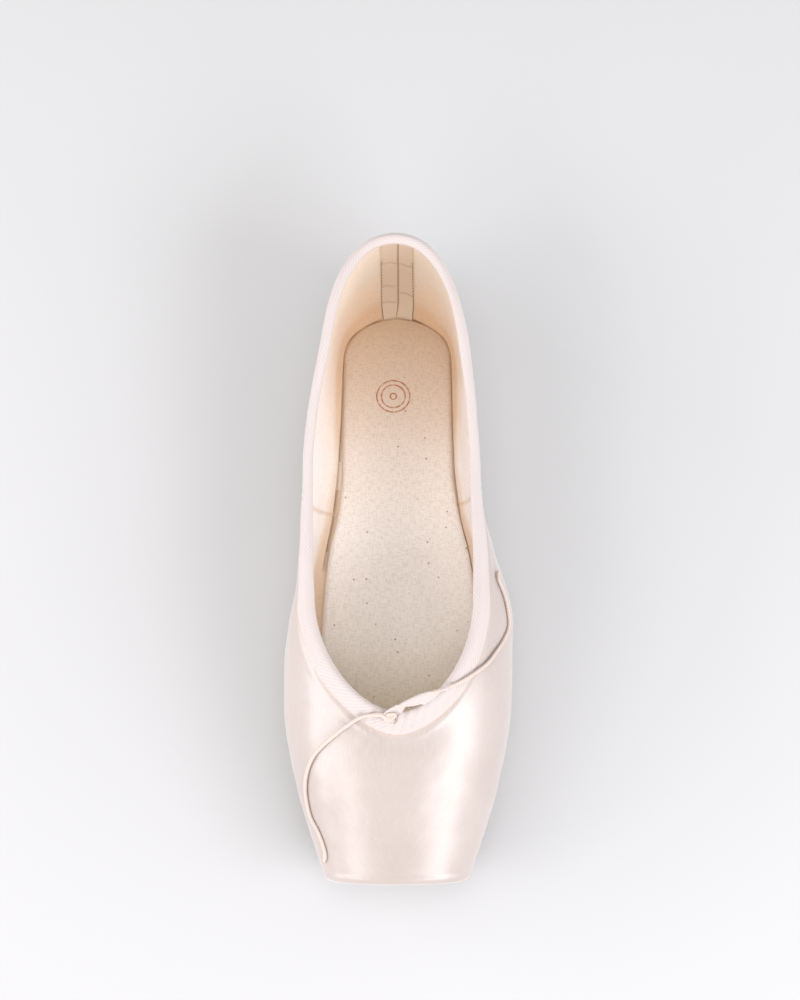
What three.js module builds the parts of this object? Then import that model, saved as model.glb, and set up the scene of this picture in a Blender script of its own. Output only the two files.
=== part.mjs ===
// A pointe shoe, empty, standing on its sole. Millimetres, +Z up, toe towards -Y, heel towards +Y.
// The origin is on the floor, under the middle of the shoe's box.
import * as THREE from 'three';
import { mergeVertices } from 'three/addons/utils/BufferGeometryUtils.js';

// Driving dimensions
const LENGTH = 239;
const PLATFORM_LEAN = THREE.MathUtils.degToRad(10);
const PLATFORM_MID_Z = 19;
const RIM_RADIUS = 3.4;
const HEEL_TURN_Y = 76;
const BINDING_WIDTH = 8.4;
const THROAT_FROM_TOE = 59.5;
const THROAT_LENGTH = 40.5;
const THROAT_BAND = 7.6;
const THROAT_POWER = 1.8;
const CROWN_POWER = 2.2;
const OUTSOLE_THICKNESS = 2.2;
const INSOLE_THICKNESS = 2.6;
const BOX_WALL = 2.6;
const QUARTER_WALL = 1.4;
const SEAT_GAP = 0.3;
const CASING_GAP = 0.5;
const DRAWSTRING_DIAMETER = 1.6;

const TOE_Y = -LENGTH / 2;
const HEEL_Y = LENGTH / 2;
const RIM_Y = TOE_Y + 2 + RIM_RADIUS;
const THROAT_Y = TOE_Y + THROAT_FROM_TOE;
const THROAT_END_Y = THROAT_Y + THROAT_LENGTH;

// Sections of the last, one row for each distance along the foot. sole is half the width of the flat
// bottom and floor its height; wide is half the greatest width and wideZ its height; crown is the top of
// the closed section; collar is half the width of the mouth; turn is the power of the lower curve.
const SECTIONS = [
  { y: RIM_Y, sole: 15.5, floor: 6.4, wide: 27.0, wideZ: 18.0, crown: 33.6, turn: 2.0 },
  { y: -100, sole: 20.5, floor: 4.6, wide: 32.0, wideZ: 18.6, crown: 39.0, turn: 2.0 },
  { y: -85, sole: 25.5, floor: 3.2, wide: 36.5, wideZ: 19.4, crown: 45.2, turn: 2.0 },
  { y: -70, sole: 29.3, floor: 2.5, wide: 40.0, wideZ: 20.2, crown: 50.6, turn: 2.0 },
  { y: -55, sole: 31.6, floor: 2.5, wide: 41.9, wideZ: 20.9, crown: 54.8, turn: 2.0 },
  { y: -40, sole: 32.2, floor: 2.5, wide: 42.1, wideZ: 21.6, crown: 57.0, turn: 2.0 },
  { y: -25, sole: 32.0, floor: 2.5, wide: 41.3, wideZ: 22.8, crown: 57.4, turn: 1.95 },
  { y: -10, sole: 30.6, floor: 2.7, wide: 38.4, wideZ: 25.4, crown: 57.4, turn: 1.85 },
  { y: 5, sole: 28.6, floor: 3.4, wide: 35.4, wideZ: 29.6, crown: 57.4, turn: 1.7 },
  { y: 20, sole: 25.6, floor: 4.4, wide: 33.4, wideZ: 33.0, crown: 58.0, turn: 1.6 },
  { y: 40, sole: 23.4, floor: 5.2, wide: 32.4, wideZ: 35.6, crown: 59.4, turn: 1.5 },
  { y: 60, sole: 22.8, floor: 3.6, wide: 30.4, wideZ: 38.6, crown: 61.6, turn: 1.5 },
  { y: HEEL_TURN_Y, sole: 22.6, floor: 2.5, wide: 28.0, wideZ: 41.5, crown: 63.8, turn: 1.6 },
];

// The same sizes at the back of the heel, where widths are distances behind HEEL_TURN_Y.
const HEEL_BACK = { sole: 29, floor: 2.5, wide: 41.9, wideZ: 48, crown: 69, turn: 1.6 };
const HEEL_ROUNDNESS = { side: 0.55, back: 0.62 };
const HEEL_TURN_LENGTH = 50;
const LAST_STATION = HEEL_TURN_Y + HEEL_TURN_LENGTH;

// Half the width of the mouth behind the throat.
const COLLAR = [
  { y: THROAT_END_Y, half: 29.2 },
  { y: 0, half: 29.9 },
  { y: 30, half: 29.9 },
  { y: 52, half: 28.4 },
  { y: HEEL_TURN_Y, half: 24.4 },
];
const HEEL_COLLAR_SHARE = 0.905;
// How far the widest line and the mouth sit to one side, for the curve of one foot.
const DRIFT = [
  { y: -60, widest: 0, mouth: 0 },
  { y: -38, widest: 0.3, mouth: -0.8 },
  { y: -16, widest: 2.0, mouth: -1.3 },
  { y: 2, widest: 0.3, mouth: -1.6 },
  { y: 16, widest: -1.6, mouth: -2.0 },
  { y: 36, widest: -2.1, mouth: -2.2 },
  { y: HEEL_TURN_Y, widest: -0.8, mouth: -1.0 },
];
const DRIFT_LEVELS = { floor: 0, widest: 20, over: 26, mouth: 44 };

// Half the width of the hole under the insole, which the outsole covers.
const OPENING_FRONT_Y = -82;
const OPENING_ROUND = 22;
const OPENING_POWER = 2;
const OPENING = [
  { y: OPENING_FRONT_Y + OPENING_ROUND, half: 17 },
  { y: -30, half: 19 },
  { y: 20, half: 11 },
  { y: HEEL_TURN_Y, half: 10 },
];
const HEEL_OPENING = 15;

// Outlines of the flat pieces: half-widths by distance along the foot.
const INSOLE_OUTLINE = [
  { y: -101, half: 5 },
  { y: -99.5, half: 9.5 },
  { y: -96, half: 13.5 },
  { y: -85, half: 20.0 },
  { y: -70, half: 24.6 },
  { y: -50, half: 28.0 },
  { y: -30, half: 29.3 },
  { y: -15, half: 28.8 },
  { y: -4, half: 27.6 },
  { y: 5, half: 26.4 },
  { y: 17.5, half: 23.6 },
  { y: 24, half: 22.4 },
  { y: 37, half: 20.9 },
  { y: 60, half: 20.6 },
  { y: 83, half: 20.6 },
];
const INSOLE_HEEL_ROUND = 15;
const OUTSOLE_OUTLINE = [
  { y: -92, half: 9 },
  { y: -91, half: 13 },
  { y: -88, half: 17.6 },
  { y: -82, half: 21.4 },
  { y: -70, half: 25.4 },
  { y: -52, half: 27.6 },
  { y: -35, half: 26.8 },
  { y: -20, half: 24.2 },
  { y: -4, half: 20.4 },
  { y: 15, half: 17.0 },
  { y: 35, half: 16.0 },
  { y: 55, half: 17.2 },
  { y: 72, half: 18.9 },
  { y: 84, half: 18.9 },
];
const OUTSOLE_HEEL_ROUND = 17.5;

// Drawstring routes in plan, from the knot outwards, with the height of the cord's middle over the skin.
const KNOT = { x: -2.9, y: -61.4, lift: 2.5, length: 5.2, width: 4.4, height: 3.0 };
const LEFT_ROUTE = [
  { x: -6.4, y: -60.9, lift: 2.3 },
  { x: -12.5, y: -61.7, lift: 2.0 },
  { x: -16.1, y: -63.7, lift: 1.6 },
  { x: -23.2, y: -68.7, lift: 1.15 },
  { x: -29.2, y: -74.2, lift: 1.15 },
  { x: -31.6, y: -79.0, lift: 1.15 },
  { x: -32.5, y: -84.2, lift: 1.15 },
  { x: -32.2, y: -89.0, lift: 1.15 },
  { x: -30.7, y: -95.3, lift: 1.15 },
  { x: -28.2, y: -100.2, lift: 1.15 },
  { x: -26.4, y: -104.7, lift: 1.15 },
  { x: -25.4, y: -108.9, lift: 1.15 },
  { x: -25.8, y: -111.3, lift: 1.15 },
];
const RIGHT_ROUTE = [
  { x: -0.6, y: -58.8, lift: 1.9 },
  { x: 4.5, y: -56.4, lift: 1.2 },
  { x: 9.1, y: -54.4, lift: 1.3 },
  { x: 13.9, y: -52.7, lift: 1.9 },
  { x: 18.0, y: -51.2, lift: 2.1 },
  { x: 22.9, y: -48.7, lift: 2.1 },
  { x: 27.7, y: -45.3, lift: 1.9 },
  { x: 31.8, y: -41.8, lift: 1.6 },
  { x: 35.2, y: -37.2, lift: 1.2 },
  { x: 38.2, y: -32.2, lift: 1.15 },
  { x: 40.2, y: -26.6, lift: 1.15 },
  { x: 40.6, y: -20.2, lift: 1.15 },
  { x: 39.9, y: -14.6, lift: 1.15 },
  { x: 38.2, y: -9.8, lift: 1.15 },
  { x: 36.3, y: -6.6, lift: 1.15 },
];
const CORD_SIDES = 8;
const CORD_STEP = 2.6;

// A smooth curve through a table's column that never runs past its neighbours' values.
function along(rows, key, y) {
  const last = rows.length - 1;
  if (y <= rows[0].y) return rows[0][key];
  if (y >= rows[last].y) return rows[last][key];
  let i = 0;
  while (rows[i + 1].y < y) i += 1;
  const rise = (k) => (rows[k + 1][key] - rows[k][key]) / (rows[k + 1].y - rows[k].y);
  const slope = (k) => {
    if (k === 0) return rise(0);
    if (k === last) return rise(last - 1);
    const before = rise(k - 1);
    const after = rise(k);
    return before * after <= 0 ? 0 : (2 * before * after) / (before + after);
  };
  const span = rows[i + 1].y - rows[i].y;
  const t = (y - rows[i].y) / span;
  const ease = t * t * (3 - 2 * t);
  return (
    rows[i][key] +
    (rows[i + 1][key] - rows[i][key]) * ease +
    span * (slope(i) * t * (1 - t) ** 2 - slope(i + 1) * t * t * (1 - t))
  );
}

function smoothStep(low, high, value) {
  const t = THREE.MathUtils.clamp((value - low) / (high - low), 0, 1);
  return t * t * (3 - 2 * t);
}

// One point of a quarter turn from the side of the heel to its back, in plan.
function heelTurn(side, slope, back, t) {
  const { side: reach, back: flat } = HEEL_ROUNDNESS;
  const weights = [(1 - t) ** 3, 3 * t * (1 - t) ** 2, 3 * t * t * (1 - t), t ** 3];
  const xs = [side, side + slope * back * reach, side * flat, 0];
  const ys = [0, back * reach, back, back];
  const sum = (values) => values.reduce((total, value, i) => total + value * weights[i], 0);
  return { x: sum(xs), y: HEEL_TURN_Y + sum(ys) };
}

// The sizes of the section at a station. Stations are distances along the foot up to HEEL_TURN_Y,
// and run on from there round the heel to its back.
function sectionAt(station) {
  const y = Math.min(station, HEEL_TURN_Y);
  const t = Math.max(0, (station - HEEL_TURN_Y) / HEEL_TURN_LENGTH);
  const share = t * (2 - t);
  const section = { y, t };
  for (const key of ['sole', 'wide']) section[key] = along(SECTIONS, key, y);
  for (const key of ['floor', 'wideZ', 'crown', 'turn']) {
    section[key] = THREE.MathUtils.lerp(along(SECTIONS, key, y), HEEL_BACK[key], share);
  }
  return section;
}

// Turns a half-width into a place in plan, on the side given by sign.
function planPoint(section, half, back, slope, sign) {
  if (section.t === 0) return { x: sign * half, y: section.y };
  const place = heelTurn(half, slope, back, section.t);
  return { x: sign * place.x, y: place.y };
}

// How the whole form leans: the platform tips forward at its top, and the mouth drifts to one side.
function lean(x, y, z) {
  const tip = 1 - smoothStep(-100, -58, y);
  const { floor, widest, over, mouth } = DRIFT_LEVELS;
  const low = along(DRIFT, 'widest', y) * smoothStep(floor, widest, z);
  const drift = THREE.MathUtils.lerp(low, along(DRIFT, 'mouth', y), smoothStep(over, mouth, z));
  return new THREE.Vector3(x + drift, y - (z - PLATFORM_MID_Z) * Math.tan(PLATFORM_LEAN) * tip, z);
}

const WIDE_SLOPE = -0.16;

// A point of the outer surface. angle runs from -90 at the edge of the flat bottom, through 0 at the
// widest place, to 90 at the crown. inset shrinks the section, for the rounded rim of the platform.
function skin(sign, station, angle, inset = 0, forward = 0) {
  const s = sectionAt(station);
  const a = THREE.MathUtils.degToRad(Math.abs(angle));
  const wide = s.wide - inset;
  if (angle >= 0) {
    const across = Math.cos(a) ** (2 / CROWN_POWER);
    const up = Math.sin(a) ** (2 / CROWN_POWER);
    const p = planPoint(s, wide * across, HEEL_BACK.wide * across, WIDE_SLOPE, sign);
    return lean(p.x, p.y - forward, s.wideZ + (s.crown - inset - s.wideZ) * up);
  }
  const across = Math.cos(a) ** (2 / s.turn);
  const down = Math.sin(a) ** (2 / s.turn);
  const sole = s.sole - inset;
  const half = sole + (wide - sole) * across;
  const back = HEEL_BACK.sole + (HEEL_BACK.wide - HEEL_BACK.sole) * across;
  const p = planPoint(s, half, back, WIDE_SLOPE * across, sign);
  return lean(p.x, p.y - forward, s.wideZ - (s.wideZ - s.floor - inset) * down);
}

// A point of the flat bottom, from the hole's edge or the centre line (share 0) to the turn (share 1).
function bottom(sign, station, share, inset = 0, forward = 0) {
  const s = sectionAt(station);
  const hole = openingHalf(station);
  const half = THREE.MathUtils.lerp(hole, s.sole - inset, share);
  const back = THREE.MathUtils.lerp(HEEL_OPENING, HEEL_BACK.sole, share);
  const p = planPoint(s, half, back, 0, sign);
  return lean(p.x, p.y - forward, s.floor + inset);
}

function openingHalf(station) {
  if (station <= OPENING_FRONT_Y) return 0;
  const roundEnd = OPENING_FRONT_Y + OPENING_ROUND;
  if (station >= roundEnd) return along(OPENING, 'half', station);
  const t = (roundEnd - station) / OPENING_ROUND;
  return OPENING[0].half * (1 - t ** OPENING_POWER) ** (1 / OPENING_POWER);
}

// The angle at which a section reaches a given half-width above its widest place.
function angleAt(section, half) {
  const share = Math.min(1, half / section.wide);
  return THREE.MathUtils.radToDeg(Math.acos(share ** (CROWN_POWER / 2)));
}

// The angle of the mouth's edge behind the throat, and of a line a given width outside it.
function edgeAngle(station, width) {
  const s = sectionAt(station);
  const side = along(COLLAR, 'half', s.y) / s.wide;
  const share = THREE.MathUtils.lerp(side, HEEL_COLLAR_SHARE, s.t * (2 - s.t));
  let angle = angleAt(s, share * s.wide);
  let place = skin(1, station, angle);
  let left = width;
  const step = 0.5;
  while (left > 0) {
    const next = skin(1, station, angle - step);
    const length = next.distanceTo(place);
    angle -= step * Math.min(1, left / length);
    left -= length;
    place = next;
  }
  return angle;
}

// The mouth's edge, and lines outside it: the throat is a superellipse, the rest follows the sections.
const THROAT_STEPS = 9;
const QUARTER_STATIONS = [-10, 0, 10, 20, 31, 42, 53, 64, HEEL_TURN_Y];
const HEEL_STEPS = 8;
function mouthLine(width) {
  const reach = THROAT_LENGTH + (THROAT_BAND * width) / BINDING_WIDTH;
  const shoulder = sectionAt(THROAT_END_Y);
  const sideAngle = THREE.MathUtils.degToRad(edgeAngle(THROAT_END_Y, width));
  const half = shoulder.wide * Math.cos(sideAngle) ** (2 / CROWN_POWER);
  const line = [];
  for (let i = 0; i <= THROAT_STEPS; i += 1) {
    const a = (i / THROAT_STEPS) * (Math.PI / 2);
    const station = THROAT_END_Y - reach * Math.cos(a) ** (2 / THROAT_POWER);
    const across = half * Math.sin(a) ** (2 / THROAT_POWER);
    line.push({ station, angle: angleAt(sectionAt(station), across) });
  }
  const stations = [...QUARTER_STATIONS];
  for (let i = 1; i <= HEEL_STEPS; i += 1) stations.push(HEEL_TURN_Y + (HEEL_TURN_LENGTH * i) / HEEL_STEPS);
  for (const station of stations) line.push({ station, angle: edgeAngle(station, width) });
  return line;
}

const BOX_STATIONS = [RIM_Y, -105, -98, -91, -85, OPENING_FRONT_Y, -80.5, -76.5, -72];
const RIM_STEPS = 3;

const LOWER_STEPS = 5;
const UPPER_STEPS = 9;

// One rib, from the bottom up to an angle.
function rib(sign, station, top, inset, forward) {
  const points = [bottom(sign, station, 0, inset, forward), bottom(sign, station, 0.5, inset, forward)];
  for (let i = LOWER_STEPS; i > 0; i -= 1) {
    points.push(skin(sign, station, (-90 * i) / LOWER_STEPS, inset, forward));
  }
  for (let i = 0; i <= UPPER_STEPS; i += 1) {
    points.push(skin(sign, station, (top * i) / UPPER_STEPS, inset, forward));
  }
  return points;
}

function sideRibs(sign) {
  const ribs = [];
  for (let i = RIM_STEPS; i > 0; i -= 1) {
    const a = (i / RIM_STEPS) * (Math.PI / 2);
    ribs.push(rib(sign, RIM_Y, 90, RIM_RADIUS * (1 - Math.cos(a)), RIM_RADIUS * Math.sin(a)));
  }
  for (const station of BOX_STATIONS) ribs.push(rib(sign, station, 90, 0, 0));
  for (const { station, angle } of mouthLine(BINDING_WIDTH)) ribs.push(rib(sign, station, angle, 0, 0));
  return ribs;
}

// Joins a list of triangle corners into an indexed geometry and drops triangles of no size.
function weld(corners) {
  const flat = new Float32Array(corners.length * 3);
  corners.forEach((corner, i) => corner.toArray(flat, i * 3));
  const soup = new THREE.BufferGeometry();
  soup.setAttribute('position', new THREE.BufferAttribute(flat, 3));
  const merged = mergeVertices(soup, 1e-3);
  const index = merged.getIndex().array;
  const kept = [];
  for (let i = 0; i < index.length; i += 3) {
    const [a, b, c] = [index[i], index[i + 1], index[i + 2]];
    if (a !== b && b !== c && c !== a) kept.push(a, b, c);
  }
  merged.setIndex(kept);
  return merged;
}

function pushQuad(corners, a, b, c, d) {
  corners.push(a, b, c, a, c, d);
}

// Quads between neighbouring rows of points.
function pushGrid(corners, rows) {
  for (let i = 0; i + 1 < rows.length; i += 1) {
    for (let j = 0; j + 1 < rows[i].length; j += 1) {
      pushQuad(corners, rows[i][j], rows[i][j + 1], rows[i + 1][j + 1], rows[i + 1][j]);
    }
  }
}

// The outer surface: both sides' ribs joined round the heel, and the flat platform between them.
function outerSurface() {
  const left = sideRibs(-1);
  const right = sideRibs(1);
  const corners = [];
  pushGrid(corners, [...left, ...right.slice(0, -1).reverse()]);
  pushGrid(corners, [right[0], left[0]]);
  return weld(corners);
}

function wallThickness(y) {
  return THREE.MathUtils.lerp(BOX_WALL, QUARTER_WALL, smoothStep(-75, -5, y));
}

// Gives a surface a wall on its inside, closed along its open edges.
function thicken(surface, thickness) {
  surface.computeVertexNormals();
  const position = surface.getAttribute('position');
  const normal = surface.getAttribute('normal');
  const outer = [];
  const inner = [];
  for (let i = 0; i < position.count; i += 1) {
    const p = new THREE.Vector3().fromBufferAttribute(position, i);
    const n = new THREE.Vector3().fromBufferAttribute(normal, i);
    outer.push(p);
    inner.push(p.clone().addScaledVector(n, -thickness(p.y)));
  }
  const index = surface.getIndex().array;
  const edges = new Set();
  for (let i = 0; i < index.length; i += 3) {
    for (let k = 0; k < 3; k += 1) edges.add(`${index[i + k]}_${index[i + ((k + 1) % 3)]}`);
  }
  const corners = [];
  for (let i = 0; i < index.length; i += 3) {
    const [a, b, c] = [index[i], index[i + 1], index[i + 2]];
    corners.push(outer[a], outer[b], outer[c], inner[a], inner[c], inner[b]);
  }
  for (const edge of edges) {
    const [a, b] = edge.split('_').map(Number);
    if (!edges.has(`${b}_${a}`)) pushQuad(corners, outer[b], outer[a], inner[a], inner[b]);
  }
  return weld(corners);
}

function upperGeometry() {
  return thicken(outerSurface(), wallThickness);
}

// The casing's cross-section: width outside the mouth's edge, and height above the skin. Heights
// marked inner are measured down from the inside of the wall.
const CASING = [
  { width: BINDING_WIDTH - CASING_GAP, height: -0.2 },
  { width: BINDING_WIDTH - CASING_GAP - 0.5, height: 0.4 },
  { width: 5.2, height: 0.75 },
  { width: 2.4, height: 0.75 },
  { width: 0.7, height: 0.35 },
  { width: 0, height: -0.5 },
  { width: 0, inner: true, height: 0.4 },
  { width: 0.8, inner: true, height: -0.4 },
  { width: 4.6, inner: true, height: -0.5 },
  { width: BINDING_WIDTH - CASING_GAP, inner: true, height: 0 },
];

function skinNormal(sign, station, angle) {
  const up = skin(sign, station, Math.min(angle + 0.5, 90)).sub(skin(sign, station, angle - 0.5));
  const back = skin(sign, Math.min(station + 0.5, LAST_STATION), angle);
  back.sub(skin(sign, station - 0.5, angle));
  return back.cross(up).normalize().multiplyScalar(sign);
}

function casingGeometry() {
  const sides = [-1, 1].map((sign) =>
    CASING.map(({ width, inner, height }) =>
      mouthLine(width).map(({ station, angle }) => {
        const place = skin(sign, station, angle);
        const rise = inner ? height - wallThickness(place.y) : height;
        return place.addScaledVector(skinNormal(sign, station, angle), rise);
      }),
    ),
  );
  const count = sides[0][0].length;
  const rings = [];
  for (let i = 0; i < count; i += 1) rings.push(sides[0].map((line) => line[i]));
  for (let i = count - 2; i > 0; i -= 1) rings.push(sides[1].map((line) => line[i]));
  return loft(rings, true);
}

// A solid through rings of points, with flat ends.
function loft(rings, closed) {
  const corners = [];
  const count = rings.length;
  const loops = rings.map((ring) => [...ring, ring[0]]);
  pushGrid(corners, closed ? [...loops, loops[0]] : loops);
  if (!closed) {
    for (let j = 1; j + 1 < rings[0].length; j += 1) {
      corners.push(rings[0][0], rings[0][j + 1], rings[0][j]);
      corners.push(rings[count - 1][0], rings[count - 1][j], rings[count - 1][j + 1]);
    }
  }
  return weld(corners);
}

// Flat pieces follow the bottom of the last, with a rounded heel end.
const HEEL_END_STEPS = 6;
function flatPieceGeometry(outline, heelRound, lowZ, highZ, bevel) {
  const lastRow = outline[outline.length - 1];
  const stations = [];
  for (let i = 0; i + 1 < outline.length; i += 1) {
    const wideStep = outline[i + 1].y - outline[i].y > 9;
    stations.push({ y: outline[i].y, half: outline[i].half });
    if (wideStep) {
      const y = (outline[i].y + outline[i + 1].y) / 2;
      stations.push({ y, half: along(outline, 'half', y) });
    }
  }
  for (let i = 0; i <= HEEL_END_STEPS; i += 1) {
    const a = (i / HEEL_END_STEPS) * THREE.MathUtils.degToRad(82);
    stations.push({
      y: lastRow.y + heelRound * Math.sin(a),
      half: lastRow.half * Math.cos(a),
    });
  }
  const rings = stations.map(({ y, half }) => {
    const low = lowZ(y);
    const high = highZ(y);
    return [
      new THREE.Vector3(-half + bevel, y, low),
      new THREE.Vector3(-half, y, low + bevel),
      new THREE.Vector3(-half, y, high - bevel),
      new THREE.Vector3(-half + bevel, y, high),
      new THREE.Vector3(half - bevel, y, high),
      new THREE.Vector3(half, y, high - bevel),
      new THREE.Vector3(half, y, low + bevel),
      new THREE.Vector3(half - bevel, y, low),
    ];
  });
  return loft(rings, false);
}

const floorZ = (y) => along(SECTIONS, 'floor', y);

const TOE_FLOOR_SHIFT = 3;
const insoleLow = (y) => Math.max(floorZ(y), floorZ(y - TOE_FLOOR_SHIFT)) + wallThickness(y) + SEAT_GAP;
const insoleGeometry = () =>
  flatPieceGeometry(
    INSOLE_OUTLINE,
    INSOLE_HEEL_ROUND,
    insoleLow,
    (y) => insoleLow(y) + INSOLE_THICKNESS,
    0.6,
  );

const outsoleHigh = (y) => floorZ(y) - SEAT_GAP;
const outsoleGeometry = () =>
  flatPieceGeometry(
    OUTSOLE_OUTLINE,
    OUTSOLE_HEEL_ROUND,
    (y) => outsoleHigh(y) - OUTSOLE_THICKNESS,
    outsoleHigh,
    0.5,
  );

// The point over the skin above a place in plan.
function overSkin({ x, y, lift }) {
  const sign = x < 0 ? -1 : 1;
  let station = y;
  let half = Math.abs(x);
  let angle = 90;
  for (let i = 0; i < 12; i += 1) {
    const section = sectionAt(station);
    half = Math.min(half, section.wide * 0.998);
    angle = angleAt(section, Math.max(0, half));
    const place = skin(sign, station, angle);
    station += y - place.y;
    half += sign * (x - place.x);
  }
  return skin(sign, station, angle).addScaledVector(skinNormal(sign, station, angle), lift);
}

function cordGeometry(route) {
  const path = new THREE.CatmullRomCurve3(route.map(overSkin), false, 'centripetal');
  const radius = DRAWSTRING_DIAMETER / 2;
  const corners = [];
  for (let i = 0; i < CORD_SIDES; i += 1) {
    const a = (i / CORD_SIDES) * Math.PI * 2;
    corners.push(new THREE.Vector2(radius * Math.cos(a), radius * Math.sin(a)));
  }
  const steps = Math.round(path.getLength() / (CORD_STEP * DRAWSTRING_DIAMETER));
  const options = { extrudePath: path, steps, bevelEnabled: false };
  return new THREE.ExtrudeGeometry(new THREE.Shape(corners), options);
}

function knotGeometry() {
  const geometry = new THREE.SphereGeometry(0.5, 16, 10);
  geometry.scale(KNOT.length, KNOT.width, KNOT.height);
  const middle = overSkin(KNOT);
  geometry.translate(middle.x, middle.y, middle.z);
  geometry.deleteAttribute('normal');
  geometry.deleteAttribute('uv');
  return mergeVertices(geometry, 1e-3);
}

// Materials by finish
const satin = new THREE.MeshStandardMaterial({ color: '#f3e2db', roughness: 0.35 });
const twill = new THREE.MeshStandardMaterial({ color: '#f4e6e4', roughness: 0.75 });
const canvas = new THREE.MeshStandardMaterial({ color: '#e6d4c4', roughness: 0.9 });
const leather = new THREE.MeshStandardMaterial({ color: '#c9a47c', roughness: 0.7 });
const cotton = new THREE.MeshStandardMaterial({ color: '#f2e0dc', roughness: 0.8 });

function addPiece(group, name, geometry, material) {
  const mesh = new THREE.Mesh(geometry, material);
  mesh.name = name;
  group.add(mesh);
}

const shoe = new THREE.Group();
addPiece(shoe, 'upper', upperGeometry(), satin);
addPiece(shoe, 'collar_binding', casingGeometry(), twill);
addPiece(shoe, 'insole', insoleGeometry(), canvas);
addPiece(shoe, 'outsole', outsoleGeometry(), leather);
addPiece(shoe, 'drawstring_knot', knotGeometry(), cotton);
addPiece(shoe, 'drawstring_left', cordGeometry(LEFT_ROUTE), cotton);
addPiece(shoe, 'drawstring_right', cordGeometry(RIGHT_ROUTE), cotton);

const box = new THREE.Box3().setFromObject(shoe);
const middle = box.getCenter(new THREE.Vector3());
shoe.position.set(-middle.x, -middle.y, -box.min.z);

export default shoe;
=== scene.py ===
# A satin pointe shoe standing empty on its sole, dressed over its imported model.
# Sizes are millimetres and are made metres as each piece is placed.
import functools
import math

import bmesh
import bpy
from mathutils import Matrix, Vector, kdtree, noise


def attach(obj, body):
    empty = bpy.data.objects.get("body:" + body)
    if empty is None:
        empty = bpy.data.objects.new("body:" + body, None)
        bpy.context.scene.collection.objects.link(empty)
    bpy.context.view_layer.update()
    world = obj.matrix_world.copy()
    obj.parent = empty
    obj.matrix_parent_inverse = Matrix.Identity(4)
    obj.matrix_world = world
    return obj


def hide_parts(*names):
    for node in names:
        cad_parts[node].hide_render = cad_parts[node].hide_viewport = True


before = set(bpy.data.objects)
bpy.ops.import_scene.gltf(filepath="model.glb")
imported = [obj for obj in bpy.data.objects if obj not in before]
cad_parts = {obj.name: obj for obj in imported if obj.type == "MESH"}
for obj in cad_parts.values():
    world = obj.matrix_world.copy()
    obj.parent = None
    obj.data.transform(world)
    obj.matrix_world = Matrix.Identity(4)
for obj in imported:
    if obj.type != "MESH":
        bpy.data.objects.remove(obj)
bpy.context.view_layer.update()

MM = 0.001

# Camera: over the vamp, tipped towards the toe, so that the vamp and the sock both face it
CAMERA_TILT = math.radians(12)
CAMERA_DISTANCE = 750
CAMERA_AIM = Vector((0.6, 23.1, 25))
CAMERA_LENS = 72
CAMERA_SENSOR = 36

# Driving dimensions of the last
LENGTH = 239
ORIGIN_SHIFT = Vector((-0.4, 0.79, 0))
PLATFORM_LEAN = math.radians(10)
PLATFORM_MID_Z = 19
RIM_RADIUS = 3.4
HEEL_TURN_Y = 76
HEEL_TURN_LENGTH = 50
HEEL_CROWDING = 1.6
LAST_STATION = HEEL_TURN_Y + HEEL_TURN_LENGTH
TOE_Y = -LENGTH / 2
RIM_Y = TOE_Y + 2 + RIM_RADIUS
BINDING_WIDTH = 8.4
THROAT_LENGTH = 40.5
THROAT_BAND = 7.6
THROAT_END_Y = TOE_Y + 59.5 + THROAT_LENGTH
THROAT_POWER = 1.8
CROWN_POWER = 2.2
WIDE_SLOPE = -0.16
BOX_WALL = 2.6
QUARTER_WALL = 1.4

# Sections of the last: half-widths of the flat bottom and of the widest line, and heights
SECTION_COLUMNS = ("y", "sole", "floor", "wide", "wide_z", "crown", "turn")
SECTIONS = [
    (RIM_Y, 15.5, 6.4, 27.0, 18.0, 33.6, 2.0),
    (-100, 20.5, 4.6, 32.0, 18.6, 39.0, 2.0),
    (-85, 25.5, 3.2, 36.5, 19.4, 45.2, 2.0),
    (-70, 29.3, 2.5, 40.0, 20.2, 50.6, 2.0),
    (-55, 31.6, 2.5, 41.9, 20.9, 54.8, 2.0),
    (-40, 32.2, 2.5, 42.1, 21.6, 57.0, 2.0),
    (-25, 32.0, 2.5, 41.3, 22.8, 57.4, 1.95),
    (-10, 30.6, 2.7, 38.4, 25.4, 57.4, 1.85),
    (5, 28.6, 3.4, 35.4, 29.6, 57.4, 1.7),
    (20, 25.6, 4.4, 33.4, 33.0, 58.0, 1.6),
    (40, 23.4, 5.2, 32.4, 35.6, 59.4, 1.5),
    (60, 22.8, 3.6, 30.4, 38.6, 61.6, 1.5),
    (HEEL_TURN_Y, 22.6, 2.5, 28.0, 41.5, 63.8, 1.6),
]
HEEL_BACK = {"sole": 29, "floor": 2.5, "wide": 41.9, "wide_z": 48, "crown": 69, "turn": 1.6}
HEEL_SIDE_REACH = 0.55
HEEL_BACK_FLAT = 0.62
COLLAR = [(THROAT_END_Y, 29.2), (0, 29.9), (30, 29.9), (52, 28.4), (HEEL_TURN_Y, 24.4)]
HEEL_COLLAR_SHARE = 0.905
DRIFT_WIDEST = [(-60, 0), (-38, 0.3), (-16, 2.0), (2, 0.3), (16, -1.6), (36, -2.1), (76, -0.8)]
DRIFT_MOUTH = [(-60, 0), (-38, -0.8), (-16, -1.3), (2, -1.6), (16, -2.0), (36, -2.2), (76, -1.0)]

# Hole in the bottom of the upper, under the sock
OPENING_FRONT_Y = -82
OPENING_ROUND = 22
OPENING = [(OPENING_FRONT_Y + OPENING_ROUND, 17), (-30, 19), (20, 11), (HEEL_TURN_Y, 10)]
HEEL_OPENING = 15

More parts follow.
